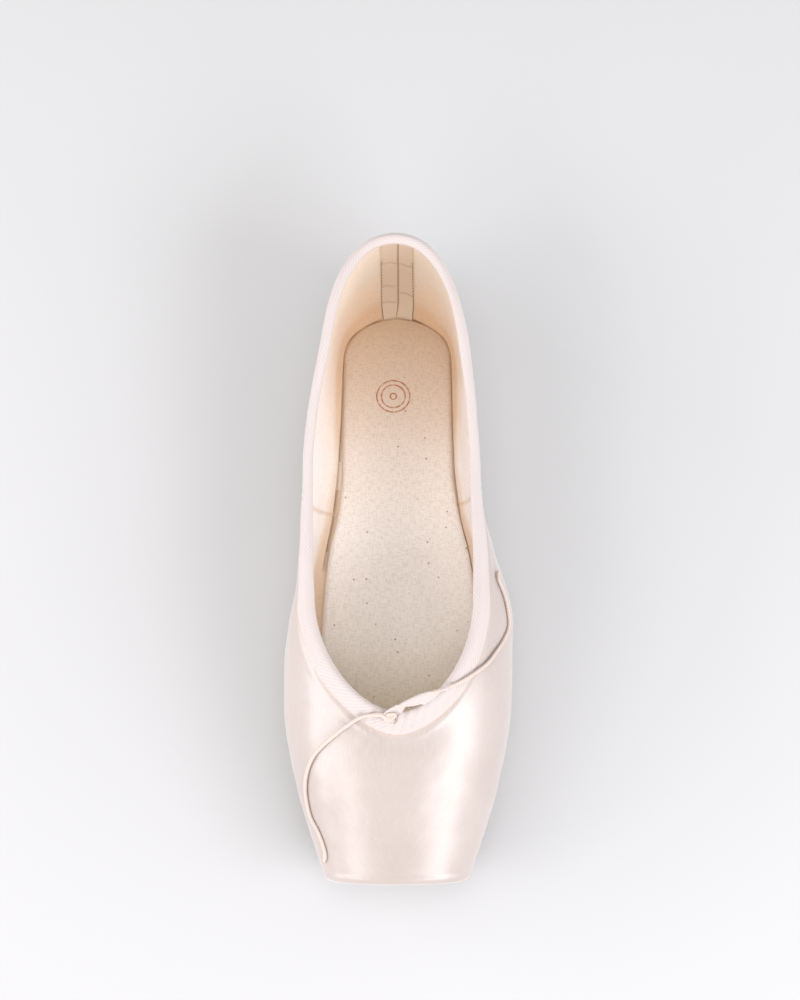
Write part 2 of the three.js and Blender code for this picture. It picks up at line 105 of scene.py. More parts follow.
# Drawstring routes in plan, with the height of the cord's middle over the skin
CORD_DIAMETER = 1.3
CORD_SIDES = 14
LEFT_ROUTE = [
    (-4.4, -61.0, 2.1), (-7.6, -60.9, 1.75), (-12.5, -61.7, 1.3), (-16.1, -63.7, 1.05),
    (-23.2, -68.7, 0.8), (-29.2, -74.2, 0.75), (-31.6, -79.0, 0.75), (-32.5, -84.2, 0.75),
    (-32.2, -89.0, 0.75), (-30.7, -95.3, 0.75), (-28.2, -100.2, 0.75), (-26.4, -104.7, 0.75),
    (-25.4, -108.9, 0.75), (-25.8, -111.3, 0.75),
]
RIGHT_ROUTE = [
    (-0.6, -58.8, 1.9), (4.5, -56.4, 1.2), (9.1, -54.4, 1.3), (13.9, -52.7, 1.55),
    (18.0, -51.2, 1.5), (22.9, -48.7, 1.35), (27.7, -45.3, 1.2), (31.8, -41.8, 1.0),
    (35.2, -37.2, 0.8), (38.2, -32.2, 0.75), (40.2, -26.6, 0.75), (40.6, -20.2, 0.75),
    (39.9, -14.6, 0.75), (38.2, -9.8, 0.75), (36.3, -6.6, 0.75),
]
KNOT = (-2.9, -61.4, 2.5)


def ease(low, high, value):
    t = min(1.0, max(0.0, (value - low) / (high - low)))
    return t * t * (3 - 2 * t)


def mix(a, b, t):
    return a + (b - a) * t


def along(points, y):
    """A smooth curve through (y, value) points that never overshoots them."""
    last = len(points) - 1
    if y <= points[0][0]:
        return points[0][1]
    if y >= points[last][0]:
        return points[last][1]
    i = 0
    while points[i + 1][0] < y:
        i += 1

    def rise(k):
        return (points[k + 1][1] - points[k][1]) / (points[k + 1][0] - points[k][0])

    def slope(k):
        if k == 0:
            return rise(0)
        if k == last:
            return rise(last - 1)
        before, after = rise(k - 1), rise(k)
        return 0 if before * after <= 0 else 2 * before * after / (before + after)

    span = points[i + 1][0] - points[i][0]
    t = (y - points[i][0]) / span
    smooth = t * t * (3 - 2 * t)
    bend = span * (slope(i) * t * (1 - t) ** 2 - slope(i + 1) * t * t * (1 - t))
    return mix(points[i][1], points[i + 1][1], smooth) + bend


SECTION_CURVES = {
    key: [(row[0], row[k]) for row in SECTIONS] for k, key in enumerate(SECTION_COLUMNS)
}


@functools.cache
def section_at(station):
    """Sizes of the section at a station, which runs along the foot and then round the heel."""
    y = min(station, HEEL_TURN_Y)
    t = max(0.0, (station - HEEL_TURN_Y) / HEEL_TURN_LENGTH)
    section = {name: along(SECTION_CURVES[name], y) for name in ("sole", "wide")}
    for name in ("floor", "wide_z", "crown", "turn"):
        section[name] = mix(along(SECTION_CURVES[name], y), HEEL_BACK[name], t * (2 - t))
    section.update(y=y, t=t)
    return section


def plan_point(section, half, back, slope, sign):
    """A half-width in plan: straight out along the foot, then swept round the heel."""
    if section["t"] == 0:
        return sign * half, section["y"]
    t = section["t"]
    weights = ((1 - t) ** 3, 3 * t * (1 - t) ** 2, 3 * t * t * (1 - t), t**3)
    xs = (half, half + slope * back * HEEL_SIDE_REACH, half * HEEL_BACK_FLAT, 0)
    ys = (0, back * HEEL_SIDE_REACH, back, back)
    x = sum(w * value for w, value in zip(weights, xs))
    y = sum(w * value for w, value in zip(weights, ys))
    return sign * x, HEEL_TURN_Y + y


def lean(x, y, z):
    """Tips the platform forward at its top and lets the widest line and the mouth sit to one side."""
    tip = 1 - ease(-100, -58, y)
    drift = mix(
        along(DRIFT_WIDEST, y) * ease(0, 20, z), along(DRIFT_MOUTH, y), ease(26, 44, z)
    )
    return Vector((x + drift, y - (z - PLATFORM_MID_Z) * math.tan(PLATFORM_LEAN) * tip, z))


def skin(sign, station, angle, inset=0.0, forward=0.0):
    """The last's surface: angle is -90 at the flat bottom, 0 at the widest line, 90 at the crown."""
    s = section_at(station)
    a = math.radians(abs(angle))
    wide = s["wide"] - inset
    if angle >= 0:
        across = max(0.0, math.cos(a)) ** (2 / CROWN_POWER)
        up = math.sin(a) ** (2 / CROWN_POWER)
        x, y = plan_point(s, wide * across, HEEL_BACK["wide"] * across, WIDE_SLOPE, sign)
        return lean(x, y - forward, s["wide_z"] + (s["crown"] - inset - s["wide_z"]) * up)
    across = max(0.0, math.cos(a)) ** (2 / s["turn"])
    down = math.sin(a) ** (2 / s["turn"])
    sole = s["sole"] - inset
    half = mix(sole, wide, across)
    back = mix(HEEL_BACK["sole"], HEEL_BACK["wide"], across)
    x, y = plan_point(s, half, back, WIDE_SLOPE * across, sign)
    return lean(x, y - forward, s["wide_z"] - (s["wide_z"] - s["floor"] - inset) * down)


def opening_half(station):
    if station <= OPENING_FRONT_Y:
        return 0.0
    round_end = OPENING_FRONT_Y + OPENING_ROUND
    if station >= round_end:
        return along(OPENING, station)
    t = (round_end - station) / OPENING_ROUND
    return OPENING[0][1] * math.sqrt(1 - t * t)


def bottom(sign, station, share, inset=0.0, forward=0.0):
    """The flat bottom, from the hole's edge or the centre line (0) to its outer edge (1)."""
    s = section_at(station)
    half = mix(opening_half(station), s["sole"] - inset, share)
    back = mix(HEEL_OPENING, HEEL_BACK["sole"], share)
    x, y = plan_point(s, half, back, 0, sign)
    return lean(x, y - forward, s["floor"] + inset)


def floor_z(y):
    return along(SECTION_CURVES["floor"], y)


def wall_thickness(y):
    return mix(BOX_WALL, QUARTER_WALL, ease(-75, -5, y))


def angle_at(section, half):
    share = min(1.0, max(0.0, half / section["wide"]))
    return math.degrees(math.acos(share ** (CROWN_POWER / 2)))


@functools.cache
def edge_angle(station, width):
    """The angle of the mouth's edge behind the throat, or of a line that width outside it."""
    s = section_at(station)
    share = mix(along(COLLAR, s["y"]) / s["wide"], HEEL_COLLAR_SHARE, s["t"] * (2 - s["t"]))
    angle = angle_at(s, share * s["wide"])
    place = skin(1, station, angle)
    left = width
    while left > 0:
        following = skin(1, station, angle - 0.5)
        length = (following - place).length
        angle -= 0.5 * min(1.0, left / length)
        left -= length
        place = following
    return angle


def skin_normal(sign, station, angle):
    up = skin(sign, station, min(angle + 0.5, 90)) - skin(sign, station, angle - 0.5)
    back = skin(sign, min(station + 0.5, LAST_STATION), angle) - skin(sign, station - 0.5, angle)
    normal = back.cross(up) * sign
    if angle > 89.8 or station > LAST_STATION - 0.01:
        normal.x = 0
    return normal.normalized()


def mouth_line(width, throat_steps, quarter_steps, heel_steps):
    """(station, angle) pairs on a line that width outside the mouth's edge, from throat to heel."""
    reach = THROAT_LENGTH + THROAT_BAND * width / BINDING_WIDTH
    shoulder = section_at(THROAT_END_Y)
    side = math.radians(edge_angle(THROAT_END_Y, width))
    half = shoulder["wide"] * math.cos(side) ** (2 / CROWN_POWER)
    line = []
    for i in range(throat_steps + 1):
        a = i / throat_steps * math.pi / 2
        station = THROAT_END_Y - reach * max(0.0, math.cos(a)) ** (2 / THROAT_POWER)
        across = half * math.sin(a) ** (2 / THROAT_POWER)
        line.append((station, angle_at(section_at(station), across)))
    for i in range(1, quarter_steps + 1):
        station = mix(THROAT_END_Y, HEEL_TURN_Y, i / quarter_steps)
        line.append((station, edge_angle(station, width)))
    for i in range(1, heel_steps + 1):
        station = LAST_STATION - HEEL_TURN_LENGTH * (1 - i / heel_steps) ** HEEL_CROWDING
        line.append((station, edge_angle(station, width)))
    return line


def place_over_skin(x, y, lift):
    """The point that high over the skin above a place in plan."""
    sign = -1 if x < 0 else 1
    station, half, angle = y, abs(x), 90
    for _ in range(12):
        section = section_at(station)
        half = min(half, section["wide"] * 0.998)
        angle = angle_at(section, max(0, half))
        here = skin(sign, station, angle)
        station += y - here.y
        half += sign * (x - here.x)
    return skin(sign, station, angle) + skin_normal(sign, station, angle) * lift


def centripetal(points, per_span):
    """Points on a centripetal Catmull-Rom curve through the given ones."""
    ends = [points[0] * 2 - points[1]] + points + [points[-1] * 2 - points[-2]]
    curve = [points[0]]
    for i in range(len(points) - 1):
        p = ends[i : i + 4]
        t = [0.0]
        for a, b in zip(p, p[1:]):
            t.append(t[-1] + max((b - a).length ** 0.5, 1e-6))
        for k in range(1, per_span + 1):
            x = mix(t[1], t[2], k / per_span)
            a = [mix(p[n], p[n + 1], (x - t[n]) / (t[n + 1] - t[n])) for n in range(3)]
            b = [mix(a[n], a[n + 1], (x - t[n]) / (t[n + 2] - t[n])) for n in range(2)]
            curve.append(mix(b[0], b[1], k / per_span))
    return curve


def in_frame(point):
    return (point + ORIGIN_SHIFT) * MM


# Camera

def link_object(name, data):
    made = bpy.data.objects.new(name, data)
    bpy.context.scene.collection.objects.link(made)
    return made


def set_up_camera():
    data = bpy.data.cameras.new("camera")
    data.lens = CAMERA_LENS
    data.sensor_width = CAMERA_SENSOR
    camera = link_object("camera", data)
    back = Vector((0, -math.sin(CAMERA_TILT), math.cos(CAMERA_TILT)))
    camera.location = (CAMERA_AIM + back * CAMERA_DISTANCE) * MM
    camera.rotation_euler = (CAMERA_TILT, 0, 0)
    bpy.context.scene.camera = camera


set_up_camera()


# Colours and materials

def linear(hex_code):
    """An sRGB hex value as linear colour, opaque."""
    channels = [int(hex_code[k : k + 2], 16) / 255 for k in (1, 3, 5)]
    return [c / 12.92 if c <= 0.04045 else ((c + 0.055) / 1.055) ** 2.4 for c in channels] + [1.0]


def add(tree, kind, settings=None, **links):
    """Adds a shader node with its settings or ramp stops; each link is an input's value or source.

    An input is named by its words joined by _, or by _ and its number where names repeat.
    """
    made = tree.nodes.new("ShaderNode" + kind)
    for key, value in (settings or {}).items():
        if key != "stops":
            setattr(made, key, value)
            continue
        elements = made.color_ramp.elements
        for k, (position, colour) in enumerate(value):
            element = elements[k] if k < 2 else elements.new(position)
            element.position = position
            element.color = linear(colour)
    for key, value in links.items():
        name = key.replace("_", " ").strip()
        if name.isdigit():
            socket = made.inputs[int(name)]
        else:
            socket = next(item for item in made.inputs if item.name == name and item.enabled)
        if isinstance(value, bpy.types.Node):
            value = next(item for item in value.outputs if item.enabled)
        if isinstance(value, bpy.types.NodeSocket):
            tree.links.new(value, socket)
        else:
            socket.default_value = value
    return made


def new_material(name, finish, *colours, **settings):
    """A material whose finish lays its nodes from Object coordinates and gives its shader."""
    material = bpy.data.materials.new(name)
    material.use_nodes = True
    material.node_tree.nodes.clear()
    node = functools.partial(add, material.node_tree)
    place = node("TexCoord").outputs["Object"]
    node("OutputMaterial", Surface=finish(node, place, *colours, **settings))
    return material


def per_mm(size):
    """The scale that makes a pattern on Object coordinates, which are metres, this many mm large."""
    return 1 / (size * MM)


# A wave texture at scale 1 has 20 radians to a unit, so this scale gives one rib to a unit
ONE_WAVE = math.tau / 20
COLOUR_MIX = {"data_type": "RGBA"}
COLOUR_TIMES = {"data_type": "RGBA", "blend_type": "MULTIPLY"}
TIMES = {"operation": "MULTIPLY"}
PLUS = {"operation": "ADD"}
MINUS = {"operation": "SUBTRACT"}


def cloth_pattern(node, along_thread, across_thread, turn=0.0):
    """The cloth's own coordinates, from a UV map in mm, one unit for each size given."""
    uv = node("UVMap", {"uv_map": "UVMap"})
    scale = (1 / along_thread, 1 / across_thread, 1)
    return node("Mapping", Vector=uv, Scale=scale, Rotation=(0, 0, turn))


def paint_shade_over(node, cloth, soil):
    """The cloth's colour, with painted shade where the mesh's own attribute says."""
    soiled = node("Attribute", {"attribute_name": "soiled"}).outputs["Fac"]
    return node("Mix", COLOUR_MIX, Factor=soiled, A=cloth, B=linear(soil))


def satin(node, place):
    """Polyester satin: long floats give a soft streak of shine across a pale pink-ivory cloth."""
    cloud = node("TexNoise", Vector=place, Scale=per_mm(26), Detail=3.0)
    # Threads 0.22 mm apart are too fine to show, so every other one is drawn
    threads = node("TexNoise", Vector=cloth_pattern(node, 3.2, 0.44), Scale=1.0, Detail=2.0)
    grain = node("TexNoise", Vector=cloth_pattern(node, 0.9, 0.8), Scale=1.0, Detail=3.0)
    base = node("ValToRGB", {"stops": [(0.3, "#B2A7A1"), (0.7, "#B8AEA8")]}, Fac=cloud)
    lines = node("ValToRGB", {"stops": [(0.3, "#EFE0DA"), (0.7, "#FFFFFF")]}, Fac=threads)
    cloth = node("Mix", COLOUR_TIMES, Factor=0.45, A=base, B=lines)
    # Painted shade in the seam line along the casing, where the mesh marks it
    colour = paint_shade_over(node, cloth, "#C8AC98")
    rough = node("MapRange", Value=grain, To_Min=0.27, To_Max=0.38)
    height = node("Math", PLUS, _0=threads, _1=grain)
    bump = node("Bump", Strength=0.12, Distance=0.2 * MM, Height=height)
    return node(
        "BsdfPrincipled", Base_Color=colour, Normal=bump, Roughness=rough, IOR=1.5,
        Specular_IOR_Level=0.9, Sheen_Weight=0.7, Sheen_Roughness=0.4,
    )


def twill(node, place, light, dark, soil, turn=0.9, pitch=1.05, relief=0.32):
    """Cotton twill: its diagonal ribs show as fine lines, and it is dull, with painted shade where the
    mesh's own attribute puts it.
    """
    diagonal = cloth_pattern(node, pitch, pitch, turn)
    ribs = node(
        "TexWave", Vector=diagonal, Scale=ONE_WAVE, Distortion=0.6, Detail=1.0, Detail_Scale=0.8
    ).outputs["Fac"]
    fuzz = node("TexNoise", Vector=cloth_pattern(node, 0.33, 0.33), Scale=1.0, Detail=3.0)
    cloud = node("TexNoise", Vector=place, Scale=per_mm(17), Detail=2.0)
    tint = node("Math", {"operation": "MULTIPLY_ADD"}, _0=cloud, _1=0.5, _2=ribs)
    base = node("ValToRGB", {"stops": [(0.25, dark), (0.95, light)]}, Fac=tint)
    # Painted shade: the shade colour where the mesh marks the slit or creases
    colour = paint_shade_over(node, base, soil)
    height = node("Math", {"operation": "MULTIPLY_ADD"}, _0=fuzz, _1=0.4, _2=ribs)
    bump = node("Bump", Strength=relief, Distance=0.3 * MM, Height=height)
    return node(
        "BsdfPrincipled", Base_Color=colour, Normal=bump, Roughness=0.72,
        Specular_IOR_Level=0.3, Sheen_Weight=0.25,
    )


def plain_weave(node, thickness, slub):
    """Plain weave: warp and weft, each a streaky noise as wide as a thread and long as a slub."""
    along_warp = cloth_pattern(node, slub, thickness)
    along_weft = cloth_pattern(node, thickness, slub)
    warp = node("TexNoise", Vector=along_warp, Scale=1.0, Detail=2.0)
    weft = node("TexNoise", Vector=along_weft, Scale=1.0, Detail=2.0)
    return node("Math", PLUS, _0=warp, _1=weft)


def sized_cotton(node, place):
    """Cotton drill stiffened with size: dull peach cream, with painted shade that makes it browner low
    down against the sock and on the heel's back wall.
    """
    axes = node("SeparateXYZ", Vector=place)
    y = axes.outputs["Y"]
    low = node("MapRange", Value=axes.outputs["Z"], From_Min=8 * MM, From_Max=26 * MM)
    heel = node("MapRange", Value=y, From_Min=42 * MM, From_Max=105 * MM)
    box = node("MapRange", Value=y, From_Min=-30 * MM, From_Max=-55 * MM)
    # Painted shade: browner low on the wall, and tanner on the heel's back wall
    wall_shade_stops = [(0.0, "#DDC4AC"), (0.1, "#EBE2DA"), (0.4, "#EAE5E2"), (1.0, "#E9E6E5")]
    back_shade_stops = [(0.0, "#DCBC9C"), (0.2, "#E6CEB5"), (1.0, "#EADFD1")]
    wall = node("ValToRGB", {"stops": wall_shade_stops}, Fac=low)
    back = node("ValToRGB", {"stops": back_shade_stops}, Fac=low)
    base = node("Mix", COLOUR_MIX, Factor=heel, A=wall, B=back)
    pasted = node("Mix", COLOUR_MIX, Factor=box, A=base, B=linear("#D6C68C"))
    cloud = node("TexNoise", Vector=place, Scale=per_mm(22), Detail=3.0)
    patch = node("ValToRGB", {"stops": [(0.3, "#F8F2EC"), (0.7, "#FFFFFF")]}, Fac=cloud)
    worn = node("Mix", COLOUR_TIMES, Factor=0.5, A=pasted, B=patch)
    weave = plain_weave(node, 0.5, 3.0)
    threads = node("ValToRGB", {"stops": [(0.7, "#F1E6DC"), (1.2, "#FFFFFF")]}, Fac=weave)
    woven = node("Mix", COLOUR_TIMES, Factor=0.5, A=worn, B=threads)
    # Painted shade along the side seams, where the mesh marks it
    colour = paint_shade_over(node, woven, "#C09A74")
    bump = node("Bump", Strength=0.25, Distance=0.2 * MM, Height=weave)
    return node(
        "BsdfPrincipled", Base_Color=colour, Normal=bump, Roughness=0.85,
        Specular_IOR_Level=0.2, Sheen_Weight=0.1,
    )


ROUNDEL_CENTRE = Vector((-1.6, 67, 0))
ROUNDEL_RINGS = (6.4, 4.6, 1.2)
ROUNDEL_LINE = 0.38
SPECK_SPACING = 3.9
SPECK_SIZES = (0.26, 0.5)


def canvas(node, place):
    """Unbleached cotton canvas: slubby threads, specks of seed husk, a worn copper-brown roundel, and
    painted shade, browner at the heel and olive under the throat.
    """
    y = node("SeparateXYZ", Vector=place).outputs["Y"]
    # Painted shade: browner towards the heel end and olive towards the throat
    heel = node("MapRange", Value=y, From_Min=12 * MM, From_Max=102 * MM)
    throat = node("MapRange", Value=y, From_Min=-30 * MM, From_Max=-75 * MM)
    cloud = node("TexNoise", Vector=place, Scale=per_mm(33), Detail=4.0)
    base = node("ValToRGB", {"stops": [(0.3, "#F0E7DF"), (0.7, "#F8F0E9")]}, Fac=cloud)
    heel_shaded = node("Mix", COLOUR_MIX, Factor=heel, A=base, B=linear("#CBAE91"))
    throat_shaded = node("Mix", COLOUR_MIX, Factor=throat, A=heel_shaded, B=linear("#D4C5A3"))
    # Threads about 0.4 mm apart, drawn a little coarser so that they show
    weave = plain_weave(node, 0.45, 2.4)
    tints = [(0.7, "#CFC4BB"), (1.0, "#F4EEE9"), (1.3, "#FFFFFF")]
    threads = node("ValToRGB", {"stops": tints}, Fac=weave)
    woven = node("Mix", COLOUR_TIMES, Factor=0.38, A=throat_shaded, B=threads)
    cells = node("TexVoronoi", Vector=place, Scale=per_mm(SPECK_SPACING))
    away = cells.outputs["Distance"]
    small, large = (size / SPECK_SPACING for size in SPECK_SIZES)
    husk = node("MapRange", Value=away, From_Min=small, From_Max=large, To_Min=0.7, To_Max=0.0)
    chance = node("SeparateXYZ", Vector=cells.outputs["Color"])
    rare = node("Math", {"operation": "GREATER_THAN"}, _0=chance, _1=0.6)
    speck = node("Math", TIMES, _0=husk, _1=rare)
    specked = node("Mix", COLOUR_MIX, Factor=speck, A=woven, B=linear("#8E7159"))
    from_centre = node("VectorMath", MINUS, _0=place, _1=in_frame(ROUNDEL_CENTRE))
    flat = node("VectorMath", TIMES, _0=from_centre, _1=(1, 1, 0))
    radius = node("VectorMath", {"operation": "LENGTH"}, _0=flat).outputs["Value"]
    ink = 0.0
    for ring in ROUNDEL_RINGS:
        off = node("Math", MINUS, _0=radius, _1=ring * MM)
        size = node("Math", {"operation": "ABSOLUTE"}, _0=off)
        edge = ROUNDEL_LINE * MM
        line = node("MapRange", Value=size, From_Min=edge, From_Max=edge * 0.55)
        ink = node("Math", {"operation": "MAXIMUM"}, _0=line, _1=ink)
    wear = node("TexNoise", Vector=place, Scale=per_mm(1.4), Detail=2.0)
    kept = node("MapRange", Value=wear, From_Min=0.35, From_Max=0.6, To_Min=0.45)
    print_mark = node("Math", TIMES, _0=ink, _1=kept)
    colour = node("Mix", COLOUR_MIX, Factor=print_mark, A=specked, B=linear("#B06F50"))
    bump = node("Bump", Strength=0.3, Distance=0.2 * MM, Height=weave)
    return node(
        "BsdfPrincipled", Base_Color=colour, Normal=bump, Roughness=0.88, Specular_IOR_Level=0.2
    )


def suede(node, place):
    """Split leather buffed to a nap: tan, blotched and matt all over."""
    nap = node("TexNoise", Vector=place, Scale=per_mm(1.1), Detail=4.0)
    cloud = node("TexNoise", Vector=place, Scale=per_mm(25), Detail=5.0)
    both = node("Mix", Factor=0.4, A=cloud, B=nap)
    stops = [(0.3, "#B58E68"), (0.55, "#C9A47C"), (0.75, "#D8B891")]
    colour = node("ValToRGB", {"stops": stops}, Fac=both)
    bump = node("Bump", Strength=0.5, Distance=0.3 * MM, Height=nap)
    return node(
        "BsdfPrincipled", Base_Color=colour, Normal=bump, Roughness=0.9,
        Specular_IOR_Level=0.25, Sheen_Weight=0.2,
    )


SATIN = new_material("pale_satin", satin)
# Each twill's third colour is the colour of its painted shade
TWILL = new_material("casing_twill", twill, "#C8BEB9", "#C0B5B3", "#BAA28E", relief=0.25)
TAPE = new_material(
    "heel_tape_cotton", twill, "#D9C6B0", "#D2BEA6", "#A07A5B", turn=0.8, pitch=0.7, relief=0.12
)
STRING = new_material(
    "drawstring_cotton", twill, "#D1C0B6", "#C8B6AB", "#C2A892", turn=0.7, pitch=0.9
)
THREAD = new_material("sewing_thread", twill, "#B5917A", "#9C7A62", "#7A5C48", turn=0.8, pitch=0.4)
LINING = new_material("lining_cotton", sized_cotton)
SOCK = new_material("sock_canvas", canvas)
SUEDE = new_material("outsole_suede", suede)


# Making pieces

def link_mesh(name, bm, material):
    mesh = bpy.data.meshes.new(name)
    bm.to_mesh(mesh)
    bm.free()
    mesh.materials.append(material)
    return link_object(name, mesh)


def link_piece(name, bm, material, node=None):
    """Makes a finished piece, which stands for a node of the CAD where one is named."""
    piece = link_mesh(name, bm, material)
    for polygon in piece.data.polygons:
        polygon.use_smooth = True
    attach(piece, "root")
    if node:
        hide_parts(node)
    return piece


def add_cloth(bm, columns, rows, place, flip=False, mark=None):
    """A grid with its vertices moved to place(i, j), and UVs that measure its threads in mm."""
    uv = bm.loops.layers.uv.get("UVMap") or bm.loops.layers.uv.new("UVMap")
    # This layer holds painted shade, which mark sets in seams, creases and the slit
    layer = bm.verts.layers.float.get("soiled") or bm.verts.layers.float.new("soiled")
    grid = bmesh.ops.create_grid(bm, x_segments=columns, y_segments=rows, size=0.5)
    steps = {}
    table = {}
    for vert in grid["verts"]:
        i = round((vert.co.x + 0.5) * columns)
        j = round((vert.co.y + 0.5) * rows)
        steps[vert] = (i, j)
        table[i, j] = place(i, j)
        vert.co = in_frame(table[i, j])
        if mark:
            vert[layer] = mark(table[i, j], i, j)
    middle = rows // 2
    run = [0.0]
    for i in range(1, columns + 1):
        run.append(run[-1] + (table[i, middle] - table[i - 1, middle]).length)
    climb = {}
    for i in range(columns + 1):
        climb[i, 0] = 0.0
        for j in range(1, rows + 1):
            climb[i, j] = climb[i, j - 1] + (table[i, j] - table[i, j - 1]).length
    faces = {face for vert in grid["verts"] for face in vert.link_faces}
    for face in faces:
        for loop in face.loops:
            i, j = steps[loop.vert]
            loop[uv].uv = (run[i], climb[i, j])
    if flip:
        bmesh.ops.reverse_faces(bm, faces=list(faces))


# Corners closer than this are made one; the finer figure keeps the rim's small steps apart
EDGE_MERGE = 0.02 * MM
RIM_MERGE = 0.004 * MM


def close_shell(bm):
    """Joins a rolled-up cloth along its edge, caps its ends and turns its faces outwards."""
    bmesh.ops.remove_doubles(bm, verts=bm.verts, dist=EDGE_MERGE)
    bmesh.ops.holes_fill(bm, edges=[e for e in bm.edges if e.is_boundary], sides=0)
    bmesh.ops.recalc_face_normals(bm, faces=bm.faces)


def turn_in_edges(bm, depth):
    """Folds every open edge of the cloth inwards, so that no raw edge shows."""
    bm.normal_update()
    edges = [edge for edge in bm.edges if edge.is_boundary]
    made = bmesh.ops.extrude_edge_only(bm, edges=edges)
    verts = {item for item in made["geom"] if isinstance(item, bmesh.types.BMVert)}
    for vert in verts:
        old = next(e.other_vert(vert) for e in vert.link_edges if e.other_vert(vert) not in verts)
        vert.co -= old.normal * depth * MM


def bump_at(distance, width):
    return math.exp(-((distance / width) ** 2))


# Satin: seams, pleats and puckers
SIDE_SEAM_Y = {-1: 20, 1: 24}
SIDE_SEAM_SLOPE = 0.12
SEAM_REACH = 6
PLEAT_CENTRE = Vector((0, -88, 0))
PLEAT_COUNT = 34
PLEAT_HEIGHT = 1.0
THROAT_KNOT = place_over_skin(*KNOT[:2], 0)
PUCKER_REACH = 22
PUCKER_HEIGHT = 0.13
SATIN_TUCK = 1.0
SATIN_TURN_IN = 0.9
TUCKED_ROWS = 3
LINING_EDGE = 2.2

# The rim is the soft edge between the vamp and the platform
RIM_STEPS = 6
RIM_LEVEL = 0.15
RIM_FADE = 7.0

# Steps along the box, round the throat, along the quarter and round the heel
SATIN_STEPS = (90, 84, 112, 34)
LINING_STEPS = (26, 24, 140, 30)
CASING_SEAM_STEPS = (70, 70, 30)
BOX_CROWDING = 1.35
FIRST_SEAM_COLUMN = RIM_STEPS + SATIN_STEPS[0]


def find_casing_seam():
    """The seam between the satin and the casing, to be asked how far away it is."""
    places = [
        skin(sign, *stop)
        for sign in (-1, 1)
        for stop in mouth_line(BINDING_WIDTH, *CASING_SEAM_STEPS)
    ]
    tree = kdtree.KDTree(len(places))
    for index, point in enumerate(places):
        tree.insert(point, index)
    tree.balance()
    return tree


casing_seam = find_casing_seam()


def pleat_height(point):
    """Pleats gathered under the toe, which run out towards the platform and the sides."""
    out = Vector((point.x, point.y - PLEAT_CENTRE.y))
    angle = math.atan2(out.x, -out.y)
    wander = 0.05 * math.sin(angle * 7 + 1.3) + 0.03 * math.sin(angle * 17)
    wave = abs(math.sin((angle + wander) * PLEAT_COUNT / 2))
    strength = ease(-48, -70, point.y) * ease(23, 8, point.z) * ease(4, 9, out.length)
    return PLEAT_HEIGHT * (wave**0.6 - 0.55) * strength


def slack(point):
    """The gentle unevenness that the satin and the casing share."""
    return 0.32 * noise.noise(point * 0.055) + 0.1 * noise.noise(point * 0.16)


def satin_relief(point, sign, station):
    """How far the satin stands over the last: folds, puckers, pleats, seams and slack."""
    away = casing_seam.find(point)[2]
    relief = 0.14 * bump_at(away - 1.9, 1.1) - 0.1 * bump_at(away, 0.6)
    from_knot = point - THROAT_KNOT
    if from_knot.length < PUCKER_REACH:
        turn = math.atan2(from_knot.x, -from_knot.y)
        fade = ease(PUCKER_REACH, 3, from_knot.length) * ease(0, 1.5, away)
        relief += PUCKER_HEIGHT * math.sin(turn * 13 + 0.6) * fade
    relief += pleat_height(point)
    seam = station - SIDE_SEAM_Y[sign] - SIDE_SEAM_SLOPE * (point.z - 30)
    if abs(seam) < SEAM_REACH:
        relief += 0.2 * bump_at(seam - 1.2, 0.8) + 0.14 * bump_at(seam + 1.2, 0.8)
        relief -= 0.36 * bump_at(seam, 0.5)
    back = LAST_STATION - station
    if back < SEAM_REACH:
        relief += 0.16 * bump_at(back - 1.2, 0.7) - 0.36 * bump_at(back, 0.4)
    return relief + mix(RIM_LEVEL, slack(point), ease(RIM_Y, RIM_Y + 14, point.y))


def skin_columns(width, box_steps, *line_steps):
    """(station, top angle, inset, forward) for each column, from the platform's rim to the heel."""
    columns = []
    for k in range(RIM_STEPS, 0, -1):
        a = k / RIM_STEPS * math.pi / 2
        columns.append((RIM_Y, 90, RIM_RADIUS * (1 - math.cos(a)), RIM_RADIUS * math.sin(a)))
    line = mouth_line(width, *line_steps)
    for k in range(box_steps):
        share = 1 - (1 - k / box_steps) ** BOX_CROWDING
        columns.append((mix(RIM_Y, line[0][0], share), 90, 0, 0))
    columns.extend((station, angle, 0, 0) for station, angle in line)
    return columns


def skin_rows(bottom_steps, low_steps, high_steps, crowding):
    """Rows for row_place: out along the bottom, up to the widest line, then up to the top."""
    rows = [("bottom", k / bottom_steps) for k in range(bottom_steps + 1)]
    rows += [("low", mix(-90, 0, k / low_steps)) for k in range(1, low_steps + 1)]
    rows += [("high", 1 - (1 - k / high_steps) ** crowding) for k in range(1, high_steps + 1)]
    return rows


def soften_corner(point):
    """Rounds the lining in at the foot of the wall, most of all under the heel."""
    low = max(0.0, 1 - max(0.0, point.z - 4) / 20)
    point.y -= 5.2 * low**1.5 * ease(88, 103, point.y)
    ground = floor_z(point.y) + wall_thickness(point.y)
    corner = max(0.0, 1 - max(0.0, point.z - ground) / 7)
    point.z += 2.1 * corner**2 * ease(-45, -20, point.y)
    point.x -= math.copysign(0.9 * corner**2, point.x) * ease(-60, -40, point.y)
    return point


def row_place(sign, column, row, relief=None, depth=None):
    """A row is ("bottom", share), ("low", angle) or ("high", share of the way to the top)."""
    station, top, inset, forward = column
    kind, amount = row
    if kind == "bottom":
        point = bottom(sign, station, amount, inset, forward)
        normal = Vector((0, 0, -1))
    else:
        angle = amount if kind == "low" else top * amount
        point = skin(sign, station, angle, inset, forward)
        normal = skin_normal(sign, station, max(-89.0, min(angle, 89.9)))
    if forward:
        normal = (normal * (RIM_RADIUS - inset) + Vector((0, -forward, 0))).normalized()
    if depth is not None:
        return soften_corner(point - normal * depth(point))
    return point + normal * relief(point, sign, station)


